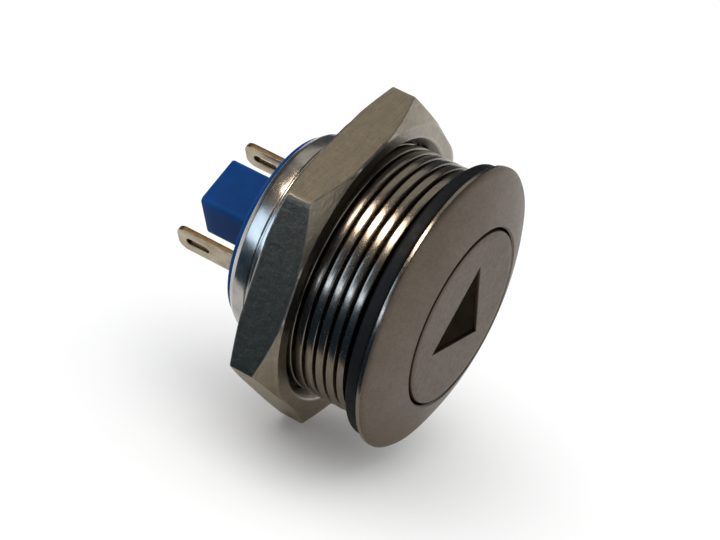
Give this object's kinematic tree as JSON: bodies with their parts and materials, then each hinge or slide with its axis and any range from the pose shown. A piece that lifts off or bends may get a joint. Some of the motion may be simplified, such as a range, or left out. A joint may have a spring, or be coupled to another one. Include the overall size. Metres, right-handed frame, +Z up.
{
  "type": "panel mount push button switch",
  "caption": "Panel-mount metal push button with a domed round bezel, arrow button, threaded barrel, hex nut, gasket and blue blade-terminal insert.",
  "frame": {"origin": "centre of the mounting hole at the panel's front face, which is the gasket's rear face", "axes": "+Y along the barrel, away from the button into the panel; the button faces -Y; +Z is up, the way the arrow points"},
  "size_m": [0.0268, 0.0246, 0.03],
  "materials": {
    "steel": "satin",
    "nut_metal": "brushed nickel",
    "bright_metal": "polished",
    "rubber": "matt",
    "arrow": "dark smooth",
    "brass": "pale brass",
    "blue_plastic": "moulded",
    "silver": "silver contact",
    "spring_steel": "drawn wire",
    "white_plastic": "moulded"
  },
  "bodies": {
    "housing": {"bezel_housing": "steel", "panel_gasket": "rubber", "rear_ring": "bright_metal", "guide_bush": "white_plastic", "return_spring": "spring_steel", "switch_case": "blue_plastic", "insulator_base": "blue_plastic", "contact_spring": "spring_steel", "terminal_lower": "brass", "terminal_upper": "brass", "fixed_contact_lower": "silver", "fixed_contact_upper": "silver"},
    "button": {"button_cap": "steel", "arrow_inlay": "arrow", "button_seal": "rubber", "button_stem": "bright_metal", "retaining_clip": "spring_steel"},
    "contact_carrier": {"switch_plunger": "white_plastic", "contact_bridge": "brass", "moving_contact_lower": "silver", "moving_contact_upper": "silver"},
    "nut": {"mounting_nut": "nut_metal"}
  },
  "joints": [
    {"name": "button_press", "type": "slide", "parent": "housing", "child": "button", "axis": [0, 1, 0], "range_m": [0, 0.0015], "stiffness_N_per_m": 1500, "springref_m": -0.001, "deforming": ["return_spring"]},
    {"name": "contact_travel", "type": "slide", "parent": "housing", "child": "contact_carrier", "axis": [0, 1, 0], "range_m": [0, 0.0015], "stiffness_N_per_m": 150, "springref_m": -0.002, "deforming": ["contact_spring"]},
    {"name": "nut_travel", "type": "slide", "parent": "housing", "child": "nut", "axis": [0, 1, 0], "range_m": [-0.0046, 0.0037]}
  ],
  "couplings": [
    {"joint": "contact_travel", "follows": "button_press", "ratio": 1}
  ]
}
